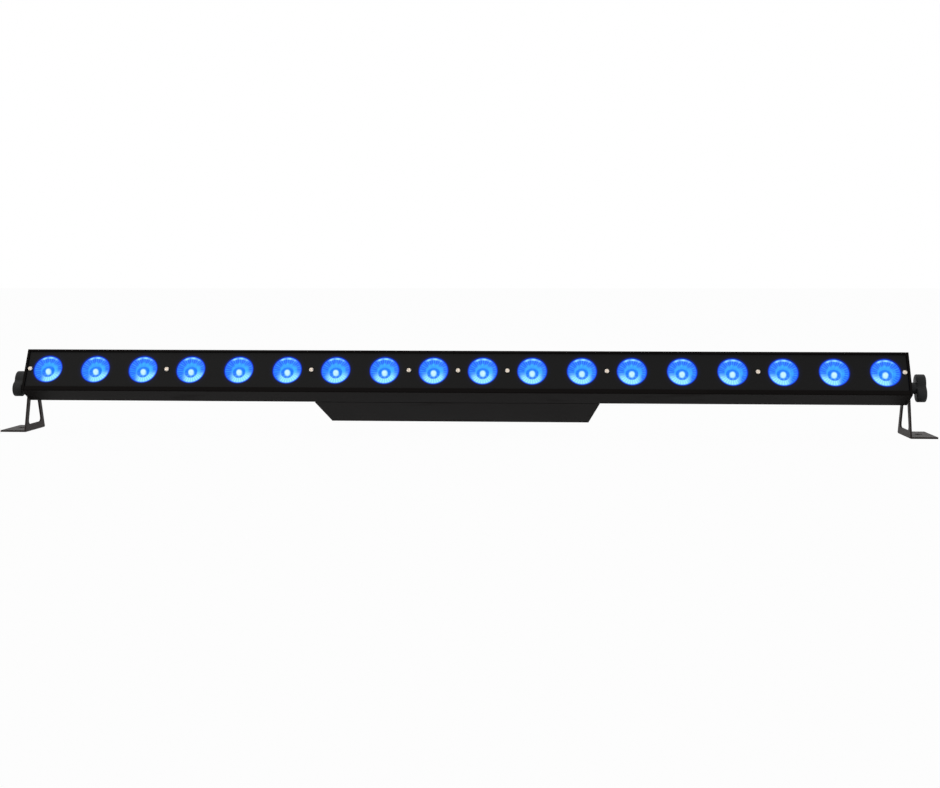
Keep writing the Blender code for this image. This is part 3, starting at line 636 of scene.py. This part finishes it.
class BattenColours(bpy.types.PropertyGroup):
    """Colours of the paint, plastics, metal and light."""

    paint: bpy.props.FloatVectorProperty(
        name="Bar paint", description="Powder coat of the bar and driver box", subtype="COLOR",
        default=(0.0056, 0.0046, 0.0043), min=0.0, max=1.0,
    )
    panel: bpy.props.FloatVectorProperty(
        name="Panel", description="Matt front panel", subtype="COLOR", default=(0.0050, 0.0048, 0.0048),
    )
    bracket: bpy.props.FloatVectorProperty(
        name="Brackets", description="Brownish black coat of the brackets", subtype="COLOR",
        default=(0.030, 0.023, 0.021),
    )
    knob: bpy.props.FloatVectorProperty(
        name="Knobs", description="Dark grey plastic", subtype="COLOR", default=(0.024, 0.024, 0.024),
    )
    steel: bpy.props.FloatVectorProperty(
        name="Screws", description="Zinc plated steel", subtype="COLOR", default=(0.72, 0.64, 0.55),
    )
    socket: bpy.props.FloatVectorProperty(
        name="Sockets", description="Black socket plastic", subtype="COLOR", default=(0.012, 0.012, 0.013),
    )
    inlet: bpy.props.FloatVectorProperty(
        name="Mains inlet", description="Blue socket plastic", subtype="COLOR", default=(0.02, 0.09, 0.34),
    )
    outlet: bpy.props.FloatVectorProperty(
        name="Mains outlet", description="Grey socket plastic", subtype="COLOR", default=(0.36, 0.38, 0.40),
    )
    display: bpy.props.FloatVectorProperty(
        name="Display", description="Dark display window", subtype="COLOR", default=(0.012, 0.006, 0.008),
    )
    body: bpy.props.FloatVectorProperty(
        name="Lens body", description="Tint of the lens itself", subtype="COLOR", default=(0.01, 0.03, 0.20),
    )
    light: bpy.props.FloatVectorProperty(
        name="Lens blue", description="Main blue of a lit lens", subtype="COLOR", default=(0.012, 0.17, 0.96),
    )
    violet: bpy.props.FloatVectorProperty(
        name="Lens violet", description="Upper part of a lit lens", subtype="COLOR",
        default=(0.022, 0.15, 0.98),
    )
    deep: bpy.props.FloatVectorProperty(
        name="Lens edge", description="Dark blue of the edge and flutes", subtype="COLOR",
        default=(0.002, 0.035, 0.62),
    )
    cyan: bpy.props.FloatVectorProperty(
        name="Lens cyan", description="Light round the core", subtype="COLOR", default=(0.05, 0.52, 1.0),
    )
    # Colour of the painted reflection at the foot of each lit lens, also used for the painted glints on its
    # upper rim
    pool: bpy.props.FloatVectorProperty(
        name="Lens foot", description="Light pooled at the foot of a lens", subtype="COLOR",
        default=(0.36, 0.95, 1.0),
    )
    ring: bpy.props.FloatVectorProperty(
        name="Lens ring", description="Dark ring round the core", subtype="COLOR",
        default=(0.008, 0.16, 0.80),
    )
    core: bpy.props.FloatVectorProperty(
        name="Lens core", description="Bright core", subtype="COLOR", default=(0.70, 1.0, 1.0),
    )


class BattenSizes(bpy.types.PropertyGroup):
    """Sizes of the fine detail."""

    flutes: bpy.props.IntProperty(
        name="Flutes", description="Flutes round each lens", default=36, min=12, max=72,
    )
    flute_depth: bpy.props.FloatProperty(
        name="Flute depth", description="How deep a flute is", default=0.00022, unit="LENGTH",
    )
    edge: bpy.props.FloatProperty(
        name="Edge rounding", description="Radius of the bar's painted edges", default=0.00035, unit="LENGTH",
    )
    sheet_edge: bpy.props.FloatProperty(
        name="Sheet edge", description="Radius of the sheet metal edges", default=0.00025, unit="LENGTH",
    )


class StageSettings(bpy.types.PropertyGroup):
    """The plain studio."""

    camera_place: bpy.props.FloatVectorProperty(
        name="Camera", description="Where the camera stands", subtype="TRANSLATION",
        default=(0.1172, -1.5622, 0.1762),
    )
    camera_aim: bpy.props.FloatVectorProperty(
        name="Aim", description="The point the camera looks at", subtype="TRANSLATION",
        default=(0.0113, -0.0027, 0.0451),
    )
    lens: bpy.props.FloatProperty(name="Lens", description="Focal length in millimetres", default=51.8)
    light: bpy.props.FloatProperty(name="Light", description="Share of the lamps' full power", default=1.0)


# One operator for each group of pieces


class BATTEN_OT_stage(bpy.types.Operator):
    """Set the camera, lamps, floor and white surroundings"""

    bl_idname = "batten.stage"
    bl_label = "Studio"

    def execute(self, context):
        stage = context.scene.batten_stage
        camera = bpy.data.objects.new("camera", bpy.data.cameras.new("camera"))
        context.scene.collection.objects.link(camera)
        camera.data.lens = stage.lens
        camera.data.clip_start = 0.01
        camera.location = stage.camera_place
        aim = Vector(stage.camera_aim) - Vector(stage.camera_place)
        camera.rotation_euler = aim.to_track_quat("-Z", "Y").to_euler()
        context.scene.camera = camera
        context.scene.view_settings.view_transform = "Standard"
        lamps = (
            ("key", (-0.9, -1.3, 1.5), 9.0, 1.3, (1.0, 0.97, 0.93)),
            ("fill", (1.3, -1.4, 0.7), 4.0, 1.2, (0.94, 0.97, 1.0)),
            ("top", (0.0, 0.5, 1.5), 7.0, 1.6, (1.0, 1.0, 1.0)),
        )
        for name, place, power, size, tint in lamps:
            lamp = bpy.data.objects.new(name, bpy.data.lights.new(name, "AREA"))
            lamp.data.energy = power * stage.light
            lamp.data.size = size
            lamp.data.color = tint
            lamp.location = place
            towards = Vector((0.0, 0.0, 0.05)) - Vector(place)
            lamp.rotation_euler = towards.to_track_quat("-Z", "Y").to_euler()
            context.scene.collection.objects.link(lamp)
        self.make_floor(context)
        self.make_world(context)
        return {"FINISHED"}

    def make_floor(self, context):
        bm = bmesh.new()
        bmesh.ops.create_grid(bm, x_segments=1, y_segments=1, size=30.0)
        floor = bpy.data.objects.new("floor", to_mesh(bm, "floor", Matrix.Translation((0.0, 0.0, -0.0002))))
        context.scene.collection.objects.link(floor)
        paint = Paint("floor_white", roughness=0.9, specular=0.1)
        paint.set(Base_Color=(0.30, 0.30, 0.30, 1.0))
        rays = paint.node("ShaderNodeLightPath", {}, {})
        seen = Value(paint, rays.outputs["Is Camera Ray"]).math("MAXIMUM", rays.outputs["Is Glossy Ray"])
        seen = seen.math("MAXIMUM", rays.outputs["Is Transmission Ray"])
        white = paint.node("ShaderNodeEmission", {}, {"Color": (1.0, 1.0, 1.0, 1.0), "Strength": 1.0})
        shares = {0: seen * 0.975, 1: paint.shader.outputs[0], 2: white.outputs[0]}
        mixed = paint.node("ShaderNodeMixShader", {}, shares)
        output = paint.tree.nodes["Material Output"]
        paint.tree.links.new(mixed.outputs[0], output.inputs["Surface"])
        floor.data.materials.append(paint.material)

    def make_world(self, context):
        world = bpy.data.worlds.new("studio")
        world.use_nodes = True
        tree = world.node_tree
        tree.nodes.clear()
        rays = tree.nodes.new("ShaderNodeLightPath")
        seen = tree.nodes.new("ShaderNodeMath")
        seen.operation = "MAXIMUM"
        through = tree.nodes.new("ShaderNodeMath")
        through.operation = "MAXIMUM"
        ambient = tree.nodes.new("ShaderNodeBackground")
        ambient.inputs["Color"].default_value = (0.95, 0.97, 1.0, 1.0)
        ambient.inputs["Strength"].default_value = 0.55
        white = tree.nodes.new("ShaderNodeBackground")
        white.inputs["Color"].default_value = (1.0, 1.0, 1.0, 1.0)
        mixed = tree.nodes.new("ShaderNodeMixShader")
        output = tree.nodes.new("ShaderNodeOutputWorld")
        tree.links.new(rays.outputs["Is Camera Ray"], seen.inputs[0])
        tree.links.new(rays.outputs["Is Glossy Ray"], seen.inputs[1])
        tree.links.new(seen.outputs[0], through.inputs[0])
        tree.links.new(rays.outputs["Is Transmission Ray"], through.inputs[1])
        tree.links.new(through.outputs[0], mixed.inputs[0])
        tree.links.new(ambient.outputs[0], mixed.inputs[1])
        tree.links.new(white.outputs[0], mixed.inputs[2])
        tree.links.new(mixed.outputs[0], output.inputs["Surface"])
        context.scene.world = world


class BATTEN_OT_body(bpy.types.Operator):
    """Finish the bar, its end plates, the front panel and the boards inside"""

    bl_idname = "batten.body"
    bl_label = "Bar and panel"

    def execute(self, context):
        colours = context.scene.batten_colours
        sizes = context.scene.batten_sizes
        paint = powder_coat("black_paint_coat", colours.paint, 0.52, 0.025)
        for node in ("housing_extrusion", "end_plate_left", "end_plate_right"):
            piece = softened(node, "batten", paint, sizes.edge)
        for node in ("driver_box_shell", "driver_box_rear_panel"):
            piece = softened(node, "batten", paint, sizes.sheet_edge)
        finish_node("front_panel", panel_finish("panel_black_coat", colours.panel, colours.deep))
        white_board = circuit_board("board_white_mask", (0.70, 0.71, 0.69))
        green_board = circuit_board("board_green_mask", (0.015, 0.13, 0.05))
        for node in ("led_board_1", "led_board_2", "led_board_3"):
            finish_node(node, white_board)
        for node in ("control_board", "power_supply_board"):
            finish_node(node, green_board)
        finish_node("lamp_cable", rubber("cable_sheath", (0.015, 0.015, 0.015)))
        return {"FINISHED"}


class BATTEN_OT_lenses(bpy.types.Operator):
    """Make the row of lit lenses"""

    bl_idname = "batten.lenses"
    bl_label = "Lenses"

    def execute(self, context):
        glow = lit_lens("lens_lit_blue", context.scene.batten_colours)
        optic = lens_mesh(context.scene.batten_sizes)
        for node in LENS_NODES:
            mesh = placed(optic, bar_matrix(middle(node).x, 0.0, LENS_RISE), node + "_optic")
            piece = add_piece(node + "_optic", mesh, glow, "batten", node)
        return {"FINISHED"}


class BATTEN_OT_screws(bpy.types.Operator):
    """Make the panel screws and the screws of the end plates, rear panel and sockets"""

    bl_idname = "batten.screws"
    bl_label = "Screws"

    def execute(self, context):
        colours = context.scene.batten_colours
        steel = plated_steel("zinc_plate", colours.steel, PANEL_SCREW_ROUGHNESS)
        black = plated_steel("blackened_screw", (0.035, 0.034, 0.034))
        panel_screw = pan_screw_mesh(*PANEL_SCREW)
        seat = depth_of(middle("front_panel")) - PANEL_DEPTH / 2.0 - CLEARANCE
        for node in SCREW_NODES:
            mesh = placed(panel_screw, bar_matrix(middle(node).x, seat, LENS_RISE), node + "_head")
            piece = add_piece(node + "_head", mesh, steel, "batten", node)
        small = pan_screw_mesh(*SMALL_SCREW)
        self.end_screws(small, black)
        self.rear_screws(small, black)
        return {"FINISHED"}

    def end_screws(self, small, finish):
        """Four screws hold each end plate to the bar."""
        for side, sign in SIDES:
            low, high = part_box("end_plate_" + side)
            face = high[0] if sign > 0 else low[0]
            outward = Matrix.Rotation(sign * math.pi / 2.0, 4, "Z")
            for index, (depth, up) in enumerate(END_SCREW_PLACES):
                place = bar_matrix(face, depth, up) @ outward
                mesh = placed(small, place, "end_screw_%s_%d" % (side, index + 1))
                add_piece(mesh.name, mesh, finish, "batten")

    def rear_screws(self, small, finish):
        """Screws round the rear panel and at two corners of each socket."""
        rear_face = depth_of(middle("driver_box_rear_panel")) + HALF_SHEET
        centre = middle("driver_box_rear_panel").x
        facing = Matrix.Rotation(math.pi, 4, "Z")
        places = [(centre + x, rear_face, up) for x in REAR_SCREW_ACROSS for up in REAR_SCREW_UP]
        flange_face = rear_face + SOCKET_STAND_OFF
        for node in SOCKETS:
            x = middle(node).x
            places += [(x + across, flange_face, up) for across, up in SOCKET_SCREW_PLACES]
        for index, (x, depth, up) in enumerate(places):
            mesh = placed(small, bar_matrix(x, depth, up) @ facing, "rear_screw_%02d" % (index + 1))
            add_piece(mesh.name, mesh, finish, "batten")


class BATTEN_OT_rear(bpy.types.Operator):
    """Make the sockets' insides and finish the display, buttons and fuse carrier"""

    bl_idname = "batten.rear"
    bl_label = "Rear panel"

    def execute(self, context):
        colours = context.scene.batten_colours
        black = moulded_plastic("socket_plastic", colours.socket, 0.42)
        blue = moulded_plastic("inlet_plastic", colours.inlet, 0.42)
        grey = moulded_plastic("outlet_plastic", colours.outlet, 0.42)
        steel = plated_steel("contact_plate", (0.80, 0.72, 0.50))
        finishes = dict(zip(SOCKETS, (black, black, blue, grey)))
        for node, finish in finishes.items():
            softened(node, "batten", finish, 0.0005)
        rear = depth_of(middle("driver_box_rear_panel")) + HALF_SHEET + SOCKET_STAND_OFF
        self.pins(rear, steel)
        self.female_core(rear, black)
        self.mains_core("mains_inlet", rear, blue, "socket_blue")
        self.mains_core("mains_outlet", rear, grey, "socket_grey")
        glass = display_finish("display_glass", colours)
        softened("display_window", "batten", glass, 0.0006)
        buttons = moulded_plastic("button_plastic", colours.knob, 0.5)
        for node in BUTTON_NODES:
            finish_node(node, buttons)
        finish_node("fuse_carrier", moulded_plastic("fuse_plastic", colours.socket, 0.4))
        return {"FINISHED"}

    def pins(self, rear, finish):
        """Three contact pins stand in the data inlet."""
        bm = bmesh.new()
        for turn in (math.radians(-90.0), math.radians(30.0), math.radians(150.0)):
            place = (CONTACT_CIRCLE * math.cos(turn), CONTACT_CIRCLE * math.sin(turn))
            rod(bm, 0.0012, rear - SOCKET_FLOOR, rear - 0.0030, place, 20, 0.0004)
        mesh = to_mesh(bm, "data_in_pins", bar_matrix(middle("data_in_socket").x))
        add_piece("data_in_pins", mesh, finish, "batten")

    def female_core(self, rear, finish):
        """The data outlet's core, with its three contact holes."""
        bm = bmesh.new()
        rod(bm, 0.0078, rear - SOCKET_FLOOR, rear - 0.0008, (0.0, 0.0), 48, 0.0005)
        core = to_mesh(bm, "core", Matrix.Identity(4))
        tools = bmesh.new()
        for turn in (math.radians(90.0), math.radians(210.0), math.radians(330.0)):
            place = (CONTACT_CIRCLE * math.cos(turn), CONTACT_CIRCLE * math.sin(turn))
            rod(tools, 0.0014, rear - 0.0090, rear + 0.0020, place, 20)
        mesh = cut_away(core, to_mesh(tools, "holes", Matrix.Identity(4)))
        mesh = placed(mesh, bar_matrix(middle("data_out_socket").x), "data_out_core")
        add_piece("data_out_core", mesh, finish, "batten")
        bm = bmesh.new()
        block(bm, (-0.0030, rear - 0.0006, 0.0103), (0.0030, rear + 0.0010, 0.0145))
        bmesh.ops.bevel(
            bm, geom=bm.edges[:], offset=0.0004, segments=2, affect="EDGES", profile=0.5, material=-1
        )
        latch = to_mesh(bm, "data_out_latch", bar_matrix(middle("data_out_socket").x))
        add_piece("data_out_latch", latch, finish, "batten")

    def mains_core(self, node, rear, finish, slot):
        """A keyed core with three blade slots in the middle of a locking mains socket."""
        bm = bmesh.new()
        rod(bm, 0.0062, rear - SOCKET_FLOOR, rear - 0.0010, (0.0, 0.0), 48, 0.0005)
        core = to_mesh(bm, "core", Matrix.Identity(4))
        tools = bmesh.new()
        for x, up in ((-0.0028, 0.0), (0.0028, 0.0), (0.0, -0.0032)):
            block(tools, (x - 0.0005, rear - 0.008, up - 0.0013), (x + 0.0005, rear + 0.002, up + 0.0013))
        mesh = cut_away(core, to_mesh(tools, "slots", Matrix.Identity(4)))
        mesh = placed(mesh, bar_matrix(middle(node).x), node + "_core")
        add_piece(node + "_core", mesh, finish, "batten")


class BATTEN_OT_clamps(bpy.types.Operator):
    """Make the brackets and the clamp knobs and finish their washers and nuts"""

    bl_idname = "batten.clamps"
    bl_label = "Brackets and knobs"

    def execute(self, context):
        colours = context.scene.batten_colours
        sizes = context.scene.batten_sizes
        coat = powder_coat("bracket_coat", colours.bracket, 0.5, 0.08)
        plastic = moulded_plastic("knob_plastic_grain", colours.knob, 0.5)
        steel = plated_steel("washer_plate", colours.steel)
        spacer = rubber("spacer_rubber", (0.012, 0.012, 0.012))
        for side, sign in SIDES:
            piece = softened("bracket_" + side, "bracket_" + side, coat, sizes.sheet_edge, 2)
            node = "clamp_knob_" + side
            piece = add_piece(node + "_grip", knob_mesh(side, sign), plastic, "knob_" + side, node)
            finish_node("friction_spacer_" + side, spacer)
            finish_node("knob_washer_" + side, steel)
            finish_node("clamp_nut_" + side, steel)
        return {"FINISHED"}


class BATTEN_PT_panel(bpy.types.Panel):
    """The batten's colours, sizes and steps in the sidebar"""

    bl_idname = "BATTEN_PT_panel"
    bl_label = "LED Strip Batten"
    bl_space_type = "VIEW_3D"
    bl_region_type = "UI"
    bl_category = "Batten"

    def draw(self, context):
        scene = context.scene
        for group in (scene.batten_colours, scene.batten_sizes, scene.batten_stage):
            column = self.layout.column()
            for name in group.bl_rna.properties.keys():
                if name not in ("rna_type", "name"):
                    column.prop(group, name)
        for operator in OPERATORS:
            self.layout.operator(operator.bl_idname)


GROUPS = (BattenColours, BattenSizes, StageSettings)
OPERATORS = (
    BATTEN_OT_stage,
    BATTEN_OT_body,
    BATTEN_OT_lenses,
    BATTEN_OT_screws,
    BATTEN_OT_rear,
    BATTEN_OT_clamps,
)


def register():
    for made in (*GROUPS, *OPERATORS, BATTEN_PT_panel):
        bpy.utils.register_class(made)
    bpy.types.Scene.batten_colours = bpy.props.PointerProperty(type=BattenColours)
    bpy.types.Scene.batten_sizes = bpy.props.PointerProperty(type=BattenSizes)
    bpy.types.Scene.batten_stage = bpy.props.PointerProperty(type=StageSettings)


def unregister():
    del bpy.types.Scene.batten_stage
    del bpy.types.Scene.batten_sizes
    del bpy.types.Scene.batten_colours
    for made in reversed((*GROUPS, *OPERATORS, BATTEN_PT_panel)):
        bpy.utils.unregister_class(made)


def main():
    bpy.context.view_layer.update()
    register()
    bpy.ops.batten.stage()
    bpy.ops.batten.body()
    bpy.ops.batten.lenses()
    bpy.ops.batten.screws()
    bpy.ops.batten.rear()
    bpy.ops.batten.clamps()


if __name__ == "__main__":
    main()
